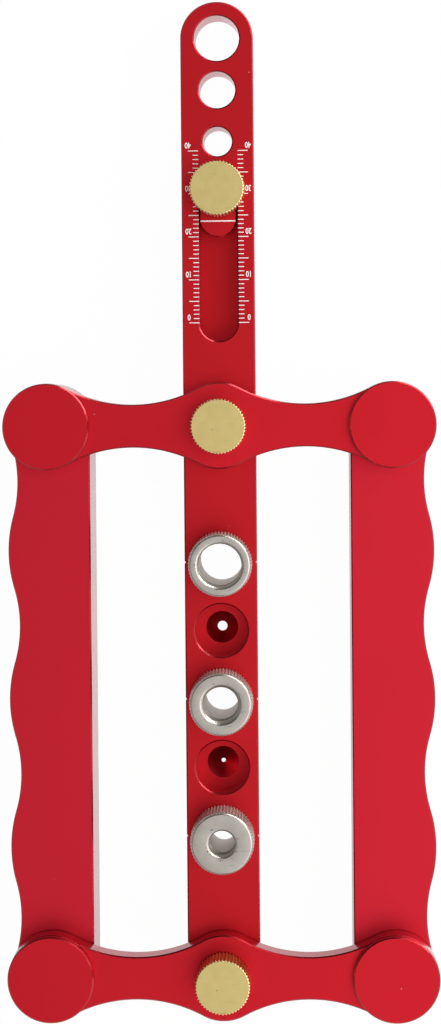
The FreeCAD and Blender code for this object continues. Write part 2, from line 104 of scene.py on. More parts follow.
class Turn(Enum):
    """Which way round an arc of an outline runs, seen from above."""

    LEFT = 1
    RIGHT = -1


class Hand(Enum):
    """The two sides of the jig, with the direction of each one's outer face."""

    LEFT = -1
    RIGHT = 1


class Cut(Enum):
    """What one solid does to another."""

    AWAY = "DIFFERENCE"
    ONTO = "UNION"


# Reading the frame.


@dataclass(frozen=True)
class Span:
    """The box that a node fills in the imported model, in millimetres."""

    low: Vector
    high: Vector

    @classmethod
    def of(cls, node: str) -> "Span":
        """Reads a node's box.

        Args:
            node: the node's name.

        Returns:
            Its lowest and highest corner.
        """
        low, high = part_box(node)
        return cls(low / MM, high / MM)

    @property
    def middle(self) -> Vector:
        """The box's centre."""
        return (self.low + self.high) / 2

    @property
    def size(self) -> Vector:
        """The box's length along each axis."""
        return self.high - self.low


# Shaping.


@dataclass(frozen=True)
class Line:
    """A straight stretch of an outline, to a point."""

    x: float
    y: float

    def draw(self, mesh: BMesh, pen: BMVert) -> BMVert:
        """Extrudes the pen's vertex along the stretch.

        Args:
            mesh: the mesh that holds the outline.
            pen: the vertex that the outline has reached.

        Returns:
            The vertex at the stretch's end.
        """
        grown = bmesh.ops.extrude_vert_indiv(mesh, verts=[pen])["verts"][0]
        grown.co = (self.x, self.y, pen.co.z)
        return grown


@dataclass(frozen=True)
class Arc:
    """A round stretch of an outline, to a point, about a centre."""

    x: float
    y: float
    centre: Point
    turn: Turn
    chord: float = 0.55  # about the length of one flat

    def draw(self, mesh: BMesh, pen: BMVert) -> BMVert:
        """Spins the pen's vertex along the stretch.

        Args:
            mesh: the mesh that holds the outline.
            pen: the vertex that the outline has reached.

        Returns:
            The vertex at the stretch's end.
        """
        middle = Vector((*self.centre, pen.co.z))
        start = pen.co - middle
        end = Vector((self.x, self.y, pen.co.z)) - middle
        angle = (math.atan2(end.y, end.x) - math.atan2(start.y, start.x)) * self.turn.value
        angle %= 2 * math.pi
        spun = bmesh.ops.spin(
            mesh,
            geom=[pen],
            cent=middle,
            axis=(0, 0, self.turn.value),
            angle=angle,
            steps=max(2, round(angle * start.length / self.chord)),
        )
        return next(item for item in spun["geom_last"] if isinstance(item, BMVert))


class Solid:
    """A closed shape in the making, in millimetres."""

    def __init__(self) -> None:
        """Starts with an empty mesh."""
        self.mesh = bmesh.new()

    @classmethod
    def prism(
        cls, start: Point, stretches: Sequence[Line | Arc], low: float, high: float
    ) -> "Solid":
        """Raises a plan outline into a solid with upright walls.

        Args:
            start: where the outline starts.
            stretches: its stretches in turn, the last of which comes back to the start.
            low: height of the underside.
            high: height of the top.

        Returns:
            The solid.
        """
        solid = cls()
        mesh = solid.mesh
        pen = mesh.verts.new((*start, low))
        for stretch in stretches:
            pen = stretch.draw(mesh, pen)
        bmesh.ops.remove_doubles(mesh, verts=mesh.verts[:], dist=WELD)
        face = bmesh.ops.contextual_create(mesh, geom=mesh.edges[:])["faces"][0]
        grown = bmesh.ops.extrude_face_region(mesh, geom=[face])["geom"]
        top = [item for item in grown if isinstance(item, BMVert)]
        bmesh.ops.translate(mesh, vec=(0, 0, high - low), verts=top)
        bmesh.ops.recalc_face_normals(mesh, faces=mesh.faces[:])
        return solid

    @classmethod
    def stadium(
        cls, radius: float, y_low: float, y_high: float, low: float, high: float
    ) -> "Solid":
        """Makes a straight-sided prism with round ends, along Y.

        Args:
            radius: half its width, and the radius of its ends.
            y_low: centre of the end towards -Y.
            y_high: centre of the end towards +Y.
            low: height of the underside.
            high: height of the top.

        Returns:
            The solid.
        """
        outline = (
            Line(radius, y_high),
            Arc(0.0, y_high + radius, (0.0, y_high), Turn.LEFT),
            Arc(-radius, y_high, (0.0, y_high), Turn.LEFT),
            Line(-radius, y_low),
            Arc(0.0, y_low - radius, (0.0, y_low), Turn.LEFT),
            Arc(radius, y_low, (0.0, y_low), Turn.LEFT),
        )
        return cls.prism((radius, y_low), outline, low, high)

    @classmethod
    def lathe(
        cls, profile: Sequence[Corner], axis: Vector, steps: int = 96, ring: bool = False
    ) -> "Solid":
        """Turns a profile about an upright axis.

        Args:
            profile: corners as radius, height and, where one is rounded, how far.
            axis: a point that the axis passes through.
            steps: flats in the full turn.
            ring: True where the profile closes on itself, False where its ends meet the axis.

        Returns:
            The solid.
        """
        solid = cls()
        mesh = solid.mesh
        if not ring:
            profile = [(0.0, profile[0][1]), *profile, (0.0, profile[-1][1])]
        line = [mesh.verts.new((axis.x + radius, axis.y, height)) for radius, height, *_ in profile]
        for pair in zip(line, line[1:]):
            mesh.edges.new(pair)
        if ring:
            mesh.edges.new((line[-1], line[0]))
        for soft in sorted({corner[2] for corner in profile if len(corner) > 2}):
            rounded = [vert for vert, corner in zip(line, profile) if corner[2:] == (soft,)]
            bmesh.ops.bevel(
                mesh,
                geom=rounded,
                offset=soft,
                offset_type="OFFSET",
                segments=3,
                profile=0.5,
                affect="VERTICES",
                material=-1,
            )
        bmesh.ops.spin(
            mesh,
            geom=mesh.verts[:] + mesh.edges[:],
            cent=(axis.x, axis.y, 0),
            axis=(0, 0, 1),
            angle=2 * math.pi,
            steps=steps,
            use_merge=True,
        )
        bmesh.ops.remove_doubles(mesh, verts=mesh.verts[:], dist=WELD)
        bmesh.ops.recalc_face_normals(mesh, faces=mesh.faces[:])
        return solid

    @classmethod
    def gathered(cls, solids: Sequence["Solid"]) -> "Solid":
        """Puts separate solids into one mesh.

        Args:
            solids: solids that don't touch. They are used up.

        Returns:
            One solid of them all.
        """
        whole = cls()
        for solid in solids:
            loose = solid.as_mesh("loose")
            whole.mesh.from_mesh(loose)
            bpy.data.meshes.remove(loose)
        return whole

    def as_mesh(self, name: str) -> bpy.types.Mesh:
        """Hands the shape over as a mesh, and frees what it was made in.

        Args:
            name: the mesh's name.

        Returns:
            The mesh, still in millimetres.
        """
        mesh = bpy.data.meshes.new(name)
        self.mesh.to_mesh(mesh)
        self.mesh.free()
        return mesh

    def chamfer(self, size: float, chosen: Callable[[BMEdge], bool]) -> None:
        """Breaks edges.

        Args:
            size: how far the chamfer reaches into each face.
            chosen: the test that picks the edges.
        """
        bmesh.ops.bevel(
            self.mesh,
            geom=[edge for edge in self.mesh.edges if chosen(edge)],
            offset=size,
            offset_type="OFFSET",
            segments=1,
            profile=0.5,
            affect="EDGES",
            material=-1,
        )

    def taper_down(self, inset: float, depth: float, length: float) -> None:
        """Grows the underside into a narrowing collar and a straight stem below it.

        Args:
            inset: how far the collar narrows.
            depth: height of the collar.
            length: height of the stem.
        """
        under: BMFace = min(self.mesh.faces, key=lambda face: face.calc_center_median().z)
        bmesh.ops.inset_individual(
            self.mesh, faces=[under], thickness=inset, depth=depth, use_even_offset=True
        )
        grown = bmesh.ops.extrude_discrete_faces(self.mesh, faces=[under])["faces"]
        stem = [vert for face in grown for vert in face.verts]
        bmesh.ops.translate(self.mesh, vec=(0, 0, -length), verts=stem)
        bmesh.ops.recalc_face_normals(self.mesh, faces=self.mesh.faces[:])

    def knurl(
        self, axis: Vector, radius: float, depth: float, teeth: int, through: float = WELD
    ) -> None:
        """Pulls rows of a lathed wall inwards, so that teeth stand between them.

        Args:
            axis: a point that the wall's axis passes through.
            radius: the wall's radius.
            depth: depth of the grooves between the teeth.
            teeth: their number. The wall has TOOTH_ROWS flats for each.
            through: how far in the edges reach that the grooves run out through.
        """
        rows = TOOTH_ROWS * teeth
        for pull, wanted in ((depth, (0,)), (depth / 2, (1, 3))):
            for vert in self.mesh.verts:
                across = vert.co.xy - axis.xy
                row = round(math.atan2(across.y, across.x) / (2 * math.pi) * rows)
                if row % TOOTH_ROWS in wanted and across.length > radius - min(pull, through):
                    vert.co.xy = axis.xy + across.normalized() * (radius - pull)

    def combine(self, tool: "Solid", cut: Cut) -> None:
        """Cuts another solid away from this one, or joins it on.

        Args:
            tool: the other solid, which is used up.
            cut: which of the two to do.
        """
        meshes = [self.as_mesh("body"), tool.as_mesh("tool")]
        body, other = [placed(mesh.name, mesh) for mesh in meshes]
        boolean = body.modifiers.new("cut", "BOOLEAN")
        boolean.operation = cut.value
        boolean.object = other
        boolean.solver = "EXACT"
        result = applied(body)
        self.mesh = bmesh.new()
        self.mesh.from_mesh(result)
        bmesh.ops.remove_doubles(self.mesh, verts=self.mesh.verts[:], dist=WELD)
        for item in (body, other):
            bpy.data.objects.remove(item)
        for mesh in (*meshes, result):
            bpy.data.meshes.remove(mesh)


def placed(name: str, data: bpy.types.ID) -> bpy.types.Object:
    """Puts data into the scene as an object.

    Args:
        name: the object's name.
        data: its mesh, text, lamp or camera.

    Returns:
        The object.
    """
    item = bpy.data.objects.new(name, data)
    bpy.context.scene.collection.objects.link(item)
    return item


def applied(item: bpy.types.Object) -> bpy.types.Mesh:
    """Works out an object's modifiers.

    Args:
        item: the object.

    Returns:
        A new mesh with the modifiers' result.
    """
    graph = bpy.context.evaluated_depsgraph_get()
    return bpy.data.meshes.new_from_object(
        item.evaluated_get(graph), preserve_all_data_layers=True, depsgraph=graph
    )


def rim(heights: Sequence[float]) -> Callable[[BMEdge], bool]:
    """Makes the test for the edges between a wall and a flat face at some heights.

    Args:
        heights: the heights.

    Returns:
        The test.
    """

    def chosen(edge: BMEdge) -> bool:
        """Tests one edge.

        Args:
            edge: the edge.

        Returns:
            True where it is such an edge.
        """
        low, high = sorted(vert.co.z for vert in edge.verts)
        level = high - low < WELD and any(abs(low - height) < WELD for height in heights)
        return level and edge.calc_face_angle(0.0) > SMOOTH_BELOW

    return chosen


def piece(
    solid: Solid, name: str, body: str, slot: Slot, finish: Finish, *nodes: str
) -> None:
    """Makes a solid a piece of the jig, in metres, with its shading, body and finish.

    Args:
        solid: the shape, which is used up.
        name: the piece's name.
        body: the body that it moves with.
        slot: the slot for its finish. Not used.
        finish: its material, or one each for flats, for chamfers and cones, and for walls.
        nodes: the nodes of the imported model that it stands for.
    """
    bmesh.ops.scale(solid.mesh, vec=(MM, MM, MM), verts=solid.mesh.verts[:])
    mesh = solid.as_mesh(name)
    for material in finish:
        mesh.materials.append(material)
    for face in mesh.polygons:
        # the materials for chamfers and walls carry painted shade, a painted highlight or a painted
        # reflection tint on some pieces
        kind = (abs(face.normal.z) < FLAT) + (abs(face.normal.z) < UPRIGHT)
        face.material_index = min(kind, len(finish) - 1)
    mesh.shade_smooth()
    mesh.set_sharp_from_angle(angle=SMOOTH_BELOW)
    made = placed(name, mesh)
    weight = made.modifiers.new("flat_faces", "WEIGHTED_NORMAL")
    weight.keep_sharp = True
    weight.weight = 100  # the largest faces alone set the shading beside a chamfer
    made.data = applied(made)
    made.modifiers.clear()
    made.data.name = name
    bpy.data.meshes.remove(mesh)
    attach(made, body)
    if nodes:
        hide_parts(*nodes)
    log.info("%s: %d faces on %s", name, len(made.data.polygons), body)


# Finishes.


def linear(code: str) -> tuple[float, float, float, float]:
    """Turns an sRGB hex colour to linear.

    Args:
        code: six hex digits.

    Returns:
        Red, green, blue and an alpha of 1.
    """
    colour = Color([int(code[i : i + 2], 16) / 255 for i in (0, 2, 4)])
    return (*colour.from_srgb_to_scene_linear(), 1.0)


def add(
    tree: bpy.types.NodeTree,
    kind: str,
    inputs: dict | None = None,
    out: int | str = 0,
    **settings: object,
) -> bpy.types.NodeSocket | None:
    """Adds a node with its settings, values and links.

    Args:
        tree: the node tree.
        kind: the node's type, without the ShaderNode that it starts with.
        inputs: a value, or the socket to link from, for each input by name or number.
        out: the output to hand back, by name or number.
        settings: the node's own properties.

    Returns:
        That output, or None where the node has none.
    """
    node = tree.nodes.new(f"ShaderNode{kind}")
    for name, setting in settings.items():
        setattr(node, name, setting)
    for key, given in (inputs or {}).items():
        if isinstance(given, bpy.types.NodeSocket):
            tree.links.new(given, node.inputs[key])
        else:
            node.inputs[key].default_value = given
    return node.outputs[out] if node.outputs else None


def ends(*levels: float) -> dict[str, float]:
    """Names what a value runs between, and then what it is mapped to."""
    return dict(zip(("From Min", "From Max", "To Min", "To Max"), levels))


def new_material(name: str) -> tuple[bpy.types.Material, bpy.types.NodeTree]:
    """Makes a material with an empty tree.

    Args:
        name: the material's name.

    Returns:
        The material and its tree.
    """
    material = bpy.data.materials.new(name)
    material.use_nodes = True
    tree = material.node_tree
    tree.nodes.clear()
    return material, tree


def millimetres(
    tree: bpy.types.NodeTree, centre: Vector | None = None
) -> bpy.types.NodeSocket:
    """Gives the place on the object in millimetres.

    Args:
        tree: the node tree.
        centre: a point to measure from, in millimetres, or None for the origin.

    Returns:
        The socket that holds the place.
    """
    place = add(tree, "TexCoord", out="Object")
    offset = -centre if centre else Vector()
    return add(tree, "Mapping", {"Vector": place, "Scale": (1 / MM,) * 3, "Location": offset})


@dataclass(frozen=True)
class Skin(ABC):
    """A finish, with its sizes in millimetres. Each kind of finish draws its own pattern."""

    name: str
    colour: str
    _: KW_ONLY
    metallic: float = 1.0
    roughness: float = 0.3
    swing: float = 0.0
    bump: float = 0.1
    bump_high: float = 0.02
    coat: float = 0.0
    coat_ior: float = 1.5
    coat_roughness: float = 0.03

    @abstractmethod
    def pattern(self, tree: bpy.types.NodeTree) -> Pattern:
        """Draws the pattern.

        Args:
            tree: the node tree.

        Returns:
            The colour, how uneven the gloss is, and the height.
        """

    def make(self) -> bpy.types.Material:
        """Builds the material.

        Returns:
            The material.
        """
        material, tree = new_material(self.name)
        colour, uneven, height = self.pattern(tree)
        roughness = self.roughness
        if self.swing:
            gloss = ends(0.0, 1.0, roughness - self.swing, roughness + self.swing)
            roughness = add(tree, "MapRange", {"Value": uneven, **gloss})
        bump = {"Height": height, "Strength": self.bump, "Distance": self.bump_high * MM}
        inputs = {
            "Base Color": colour,
            "Metallic": self.metallic,
            "Roughness": roughness,
            "Normal": add(tree, "Bump", bump),
            "Coat Weight": self.coat,
            "Coat IOR": self.coat_ior,
            "Coat Roughness": self.coat_roughness,
        }
        add(tree, "OutputMaterial", {"Surface": add(tree, "BsdfPrincipled", inputs)})
        return material


@dataclass(frozen=True)
class AnodisedAluminium(Skin):
    """Fine blasted aluminium with a dyed oxide skin.

    To the eye it is a satin metal: an even deep red from straight on, which mirrors the white
    ground at a glancing angle, with a very fine grain and the odd speck of dust. Milled walls
    are glossier under their dye. Copies given a darker colour for cut edges carry painted shade,
    and copies given a bluer colour for walls carry a painted tint of the ground's reflection.
    """

    shade: str
    _: KW_ONLY
    roughness: float = 0.42
    swing: float = 0.04
    bump: float = 0.06
    bump_high: float = 0.05
    coat: float = 0.9
    coat_ior: float = 1.24
    coat_roughness: float = 0.4
    grain: float = 0.45  # real blasting is about 0.08 mm, drawn coarser so that it shows
    cloud: float = 22.0  # the dye's faint drift from the colour to the shade
    speck: str = "E08A90"
    speck_pitch: float = 7.5
    speck_radius: float = 0.13

    def pattern(self, tree: bpy.types.NodeTree) -> Pattern:
        """Draws the blasted grain, the dye's drift and the dust.

        Args:
            tree: the node tree.

        Returns:
            The colour, how uneven the gloss is, and the height.
        """
        place = millimetres(tree)
        grain = add(tree, "TexNoise", {"Vector": place, "Scale": 1 / self.grain, "Detail": 2.0})
        cloud = add(tree, "TexNoise", {"Vector": place, "Scale": 1 / self.cloud, "Detail": 1.0})
        tones = {"Factor": cloud, FIRST: linear(self.colour), SECOND: linear(self.shade)}
        tone = add(tree, "Mix", tones, MIXED, data_type="RGBA")
        dust = add(tree, "TexVoronoi", {"Vector": place, "Scale": 1 / self.speck_pitch})
        limit = self.speck_radius / self.speck_pitch
        dusty = add(tree, "Math", {0: dust, 1: limit}, operation="LESS_THAN")
        tones = {"Factor": dusty, FIRST: tone, SECOND: linear(self.speck)}
        return add(tree, "Mix", tones, MIXED, data_type="RGBA"), grain, grain


@dataclass(frozen=True)
class TurnedMetal(Skin):
    """Metal faced on a lathe: nickel plated steel, or brass.

    The plate is a warm light grey and the brass a pale yellow, both with a soft gloss. The eye
    finds rings about the axis, a patchy tone, fine scratches that run one way and a few dark chips.
    """

    patch: str
    mark: str
    centre: Vector
    _: KW_ONLY
    mark_radius: float
    swing: float = 0.07
    bump: float = 0.25
    ring: float = 0.32  # the tool's feed, about 0.1 mm, drawn coarser so that it shows
    ring_wander: float = 1.2
    ring_wander_scale: float = 0.6
    patch_size: float = 2.6
    patch_levels: Levels = (0.35, 0.7, 0.0, 0.6)
    scratch_turn: float = math.radians(-27)
    scratch_scale: Triple = (0.35, 3.4, 1.0)  # per millimetre, along and across a scratch
    scratch_levels: Levels = (0.68, 0.78, 0.0, 0.5)
    mark_width: float = 0.35
    mark_size: float = 0.5
    mark_level: float = 0.62
    mark_edge: float = 0.06

    def pattern(self, tree: bpy.types.NodeTree) -> Pattern:
        """Draws the rings, the patches, the scratches and the chips.

        Args:
            tree: the node tree.

        Returns:
            The colour, how uneven the gloss is, and the height.
        """
        place = millimetres(tree, self.centre)
        inputs = {
            "Vector": place,
            "Scale": WAVE_UNIT / self.ring,
            "Distortion": self.ring_wander,
            "Detail": 2.0,
            "Detail Scale": self.ring_wander_scale,
        }
        rings = add(tree, "TexWave", inputs, "Fac", wave_type="RINGS", rings_direction="Z")
        inputs = {"Vector": place, "Scale": 1 / self.patch_size, "Detail": 3.0}
        patches = add(tree, "TexNoise", inputs)
        share = add(tree, "MapRange", {"Value": patches, **ends(*self.patch_levels)})
        tones = {"Factor": share, FIRST: linear(self.colour), SECOND: linear(self.patch)}
        tone = add(tree, "Mix", tones, MIXED, data_type="RGBA")
        flaws = {0: self.scratches(tree, place), 1: self.marks(tree, place)}
        dark = add(tree, "Math", flaws, operation="MAXIMUM")
        tones = {"Factor": dark, FIRST: tone, SECOND: linear(self.mark)}
        colour = add(tree, "Mix", tones, MIXED, data_type="RGBA")
        height = add(tree, "Math", {0: rings, 1: dark}, operation="SUBTRACT")
        return colour, patches, height

    def scratches(
        self, tree: bpy.types.NodeTree, place: bpy.types.NodeSocket
    ) -> bpy.types.NodeSocket:
        """Draws short fine scratches that run one way.

        Args:
            tree: the node tree.
            place: the place in millimetres.

        Returns:
            How deep a scratch is at each point, from 0 to 1.
        """
        turned = {"Rotation": (0, 0, self.scratch_turn), "Scale": self.scratch_scale}
        along = add(tree, "Mapping", {"Vector": place, **turned})
        streaks = add(tree, "TexNoise", {"Vector": along, "Scale": 1.0, "Detail": 2.0})
        return add(tree, "MapRange", {"Value": streaks, **ends(*self.scratch_levels)})

    def marks(
        self, tree: bpy.types.NodeTree, place: bpy.types.NodeSocket
    ) -> bpy.types.NodeSocket:
        """Draws small dark chips in a ring round the axis, where the metal was cut.

        Args:
            tree: the node tree.
            place: the place in millimetres.

        Returns:
            How dark a chip is at each point, from 0 to 1.
        """
        flat = add(tree, "VectorMath", {0: place, 1: (1.0, 1.0, 0.0)}, operation="MULTIPLY")
        radius = add(tree, "VectorMath", {0: flat}, "Value", operation="LENGTH")
        band = {0: radius, 1: self.mark_radius, 2: self.mark_width}
        near = add(tree, "Math", band, operation="COMPARE")
        chips = add(tree, "TexNoise", {"Vector": place, "Scale": 1 / self.mark_size})
        levels = ends(self.mark_level, self.mark_level + self.mark_edge, 0.0, 1.0)
        chip = add(tree, "MapRange", {"Value": chips, **levels})
        return add(tree, "Math", {0: near, 1: chip}, operation="MULTIPLY")


@dataclass(frozen=True)
class PlainMetal(Skin):
    """Bright metal in one colour: drawn steel, a plated knurl painted paler as a highlight, or a
    brass edge painted paler as a highlight.

    To the eye it has a clean, slightly broken gloss and no marks.
    """

    _: KW_ONLY
    roughness: float = 0.32
    swing: float = 0.08
    grain: float = 0.3  # a drawn grain is finer than 0.1 mm, drawn coarser so that it shows

    def pattern(self, tree: bpy.types.NodeTree) -> Pattern:
        """Draws the grain.

        Args:
            tree: the node tree.

        Returns:
            The colour, how uneven the gloss is, and the height.
        """
        place = millimetres(tree)
        grain = add(tree, "TexNoise", {"Vector": place, "Scale": 1 / self.grain, "Detail": 3.0})
        return linear(self.colour), grain, grain


@dataclass(frozen=True)
class Coating(Skin):
    """A matt skin that isn't metal: moulded nylon, or screen printed ink.

    Nylon is a milky, slightly waxy white. The ink is a flat white with a faint unevenness.
    """

    shade: str
    _: KW_ONLY
    patch: float
    metallic: float = 0.0
    bump_high: float = 0.01

    def pattern(self, tree: bpy.types.NodeTree) -> Pattern:
        """Draws the unevenness.

        Args:
            tree: the node tree.

        Returns:
            The colour, how uneven the gloss is, and the height.
        """
        place = millimetres(tree)
        patches = add(tree, "TexNoise", {"Vector": place, "Scale": 1 / self.patch, "Detail": 2.0})
        tones = {"Factor": patches, FIRST: linear(self.colour), SECOND: linear(self.shade)}
        return add(tree, "Mix", tones, MIXED, data_type="RGBA"), patches, patches


# The pieces.


@dataclass
class CentreBar:
    """The long bar: bush seats, marking wells, gauge holes, the stop's slot and centre marks."""

    finish: Finish
    edge: float = 0.3
    seat: float = 6.2
    well_depth: float = 7.4
    cone_rim: float = 3.75
    cone_depth: float = 2.2
    cone_holes: Point = (1.15, 0.5)
    gauge_holes: tuple[float, ...] = (3.4, 4.25, 5.25)
    gauge_pitch: float = 12.0
    slot_radius: float = 4.5
    slot_ends: Point = (88.0, 118.7)
    sleeve_seat: float = 4.5
    sleeve_depth: float = 5.0
    stud_hole: float = 3.05
    notch_depth: float = 0.35
    notch_half: float = 0.35

    def __post_init__(self) -> None:
        """Reads the bar's place and the bushes' from the frame."""
        self.span = Span.of("centre_bar")
        self.bushes = [Span.of(f"bush_{size}mm").middle.y for size in BUSHES]
        self.pivots = [Span.of(f"{end}_knob").middle.y for end in ("upper", "lower")]

    def build(self) -> None:
        """Builds the bar."""
        half = self.span.size.x / 2
        low, high = self.span.low, self.span.high
        bar = Solid.stadium(half, low.y + half, high.y - half, low.z, high.z)
        bar.chamfer(self.edge, rim((low.z, high.z)))
        tools = [*self.seats(), *self.wells(), *self.gauges(), *self.pivot_seats()]
        tools += [*self.notches(half), self.slot()]
        bar.combine(Solid.gathered(tools), Cut.AWAY)
        piece(bar, "bar", "bar", Slot.RED, self.finish, "centre_bar")

    def hole(self, y: float, radius: float, bottom: Sequence[Corner]) -> Solid:
        """Makes the tool for a round hole with a broken rim at the bar's top.

        Args:
            y: the hole's place along the bar.
            radius: the hole's radius at the top.
            bottom: the profile below that, upwards.

        Returns:
            The tool.
        """
        top = self.span.high.z
        flare = 2 * self.edge
        profile = [*bottom, (radius, top - self.edge), (radius + flare, top + self.edge)]
        return Solid.lathe(profile, Vector((0, y, 0)))

    def seats(self) -> list[Solid]:
        """Makes the tools for the three bush seats."""
        return [self.hole(y, self.seat, [(self.seat, -CLEAR)]) for y in self.bushes]

    def wells(self) -> list[Solid]:
        """Makes the tools for the two marking wells, each with its pencil cone and pinhole.

        Returns:
            The tools.
        """
        floor = self.span.high.z - self.well_depth
        tools = []
        for upper, lower, pinhole in zip(self.bushes, self.bushes[1:], self.cone_holes):
            bottom = [
                (pinhole, -CLEAR),
                (pinhole, floor - self.cone_depth),
                (self.cone_rim, floor),
                (self.seat, floor),
            ]
            tools.append(self.hole((upper + lower) / 2, self.seat, bottom))
        return tools

    def gauges(self) -> list[Solid]:
        """Makes the tools for the three dowel gauge holes, the largest at the round end.

        Returns:
            The tools.
        """
        last = self.span.high.y - self.span.size.x / 2
        flare = 2 * self.edge
        tools = []
        for place, radius in enumerate(reversed(self.gauge_holes)):
            bottom = [(radius + flare, -self.edge), (radius, self.edge)]
            tools.append(self.hole(last - place * self.gauge_pitch, radius, bottom))
        return tools

    def pivot_seats(self) -> list[Solid]:
        """Makes the tools for the two stepped holes of the arm pivots.

        Returns:
            The tools.
        """
        top = self.span.high.z
        step = top - self.sleeve_depth
        profile = [
            (self.stud_hole, -CLEAR),
            (self.stud_hole, step),
            (self.sleeve_seat, step),
            (self.sleeve_seat, top + CLEAR),
        ]
        return [Solid.lathe(profile, Vector((0, y, 0))) for y in self.pivots]

    def notches(self, half: float) -> list[Solid]:
        """Makes the tools for the centre marks in both sides, in line with each bush.

        Args:
            half: half the bar's width.

        Returns:
            The tools.
        """
        top = self.span.high.z + CLEAR
        reach = 2 * self.notch_half
        tools = []
        for y in self.bushes:
            for hand in Hand:
                root = hand.value * (half - self.notch_depth)
                mouth = hand.value * (half + self.notch_depth)
                outline = (Line(mouth, y - reach), Line(mouth, y + reach), Line(root, y))
                tools.append(Solid.prism((root, y), outline, -CLEAR, top))
        return tools

    def slot(self) -> Solid:
        """Makes the tool for the stop's slot, with its broken rim.

        Returns:
            The tool.
        """
        top = self.span.high.z
        flare = 2 * self.edge
        tool = Solid.stadium(
            self.slot_radius + flare, *self.slot_ends, top + self.edge, top + CLEAR
        )
        tool.taper_down(flare, flare, top + CLEAR)
        return tool


@dataclass
class PrintedScale:
    """The white print: two rows of millimetre ticks with numbers, and the stop's index line."""

    finish: Finish
    zero: float = 87.85
    length: int = 40
    start: float = 4.6
    misplaced: float = 0.1  # the whole print lies this far to the right
    short: float = 1.3
    long: float = 2.35
    long_every: int = 5
    width: float = 0.18
    ink: float = 0.02
    number_every: int = 10
    number_high: float = 1.3
    number_squeeze: float = 0.74
    number_bold: float = 0.035
    number_out: float = 7.0
    number_up: float = 1.25
    number_flats: int = 3
    digit_share: float = 0.69  # a digit's height as a share of the type's size
    index_y: float = 111.55
    index_width: float = 0.29

    def build(self) -> None:
        """Builds the print."""
        values = range(0, self.length + 1, self.number_every)
        for hand in Hand:
            side = hand.name.lower()
            ticks = self.ticks(hand)
            piece(ticks, f"{side}_scale_ticks", "bar", Slot.NYLON, self.finish)
            numbers = Solid.gathered([self.number(hand, value) for value in values])
            piece(numbers, f"{side}_scale_numbers", "bar", Slot.NYLON, self.finish)
        piece(self.index(), "stop_index_line", "stop", Slot.NYLON, self.finish)

    def strip(self, centre: Vector, size: Vector) -> Solid:
        """Makes one printed stroke.

        Args:
            centre: its middle.
            size: its length along each axis.

        Returns:
            The stroke.
        """
        stroke = Solid()
        place = Matrix.Translation(centre) @ Matrix.Diagonal((*size, 1.0))
        bmesh.ops.create_cube(stroke.mesh, size=1.0, matrix=place)
        return stroke

    def ticks(self, hand: Hand) -> Solid:
        """Makes one row of ticks.

        Args:
            hand: the side of the slot.

        Returns:
            The row.
        """
        top = Span.of("centre_bar").high.z
        strokes = []
        for n in range(self.length + 1):
            reach = self.short if n % self.long_every else self.long
            x = hand.value * (self.start + reach / 2) + self.misplaced
            centre = Vector((x, self.zero + n, top))
            strokes.append(self.strip(centre, Vector((reach, self.width, 2 * self.ink))))
        return Solid.gathered(strokes)

    def number(self, hand: Hand, value: int) -> Solid:
        """Makes one number, which reads from the far end of the bar.

        Args:
            hand: the side of the slot.
            value: the number.

        Returns:
            The number.
        """
        text = bpy.data.curves.new("number", "FONT")
        text.body = str(value)
        text.size = self.number_high / self.digit_share
        text.align_x = "CENTER"
        text.extrude = self.ink
        text.offset = self.number_bold
        text.resolution_u = self.number_flats
        holder = placed("number", text)
        flat = applied(holder)
        number = Solid()
        number.mesh.from_mesh(flat)
        bmesh.ops.remove_doubles(number.mesh, verts=number.mesh.verts[:], dist=WELD)
        x = hand.value * self.number_out + self.misplaced
        y = self.zero + value + self.number_up + self.number_high / 2
        place = (
            Matrix.Translation((x, y, Span.of("centre_bar").high.z))
            @ Matrix.Rotation(math.pi, 4, "Z")
            @ Matrix.Diagonal((self.number_squeeze, 1.0, 1.0, 1.0))
        )
        bmesh.ops.transform(number.mesh, matrix=place, verts=number.mesh.verts[:])
        bpy.data.objects.remove(holder)
        bpy.data.curves.remove(text)
        bpy.data.meshes.remove(flat)
        return number

    def index(self) -> Solid:
        """Makes the line across the stop's tongue that reads on the scale.

        Returns:
            The line.
        """
        span = Span.of("stop_slider")
        half = EndStop.tongue_half - EndStop.edge
        centre = Vector((0, self.index_y, span.high.z))
        return self.strip(centre, Vector((2 * half, self.index_width, 2 * self.ink)))


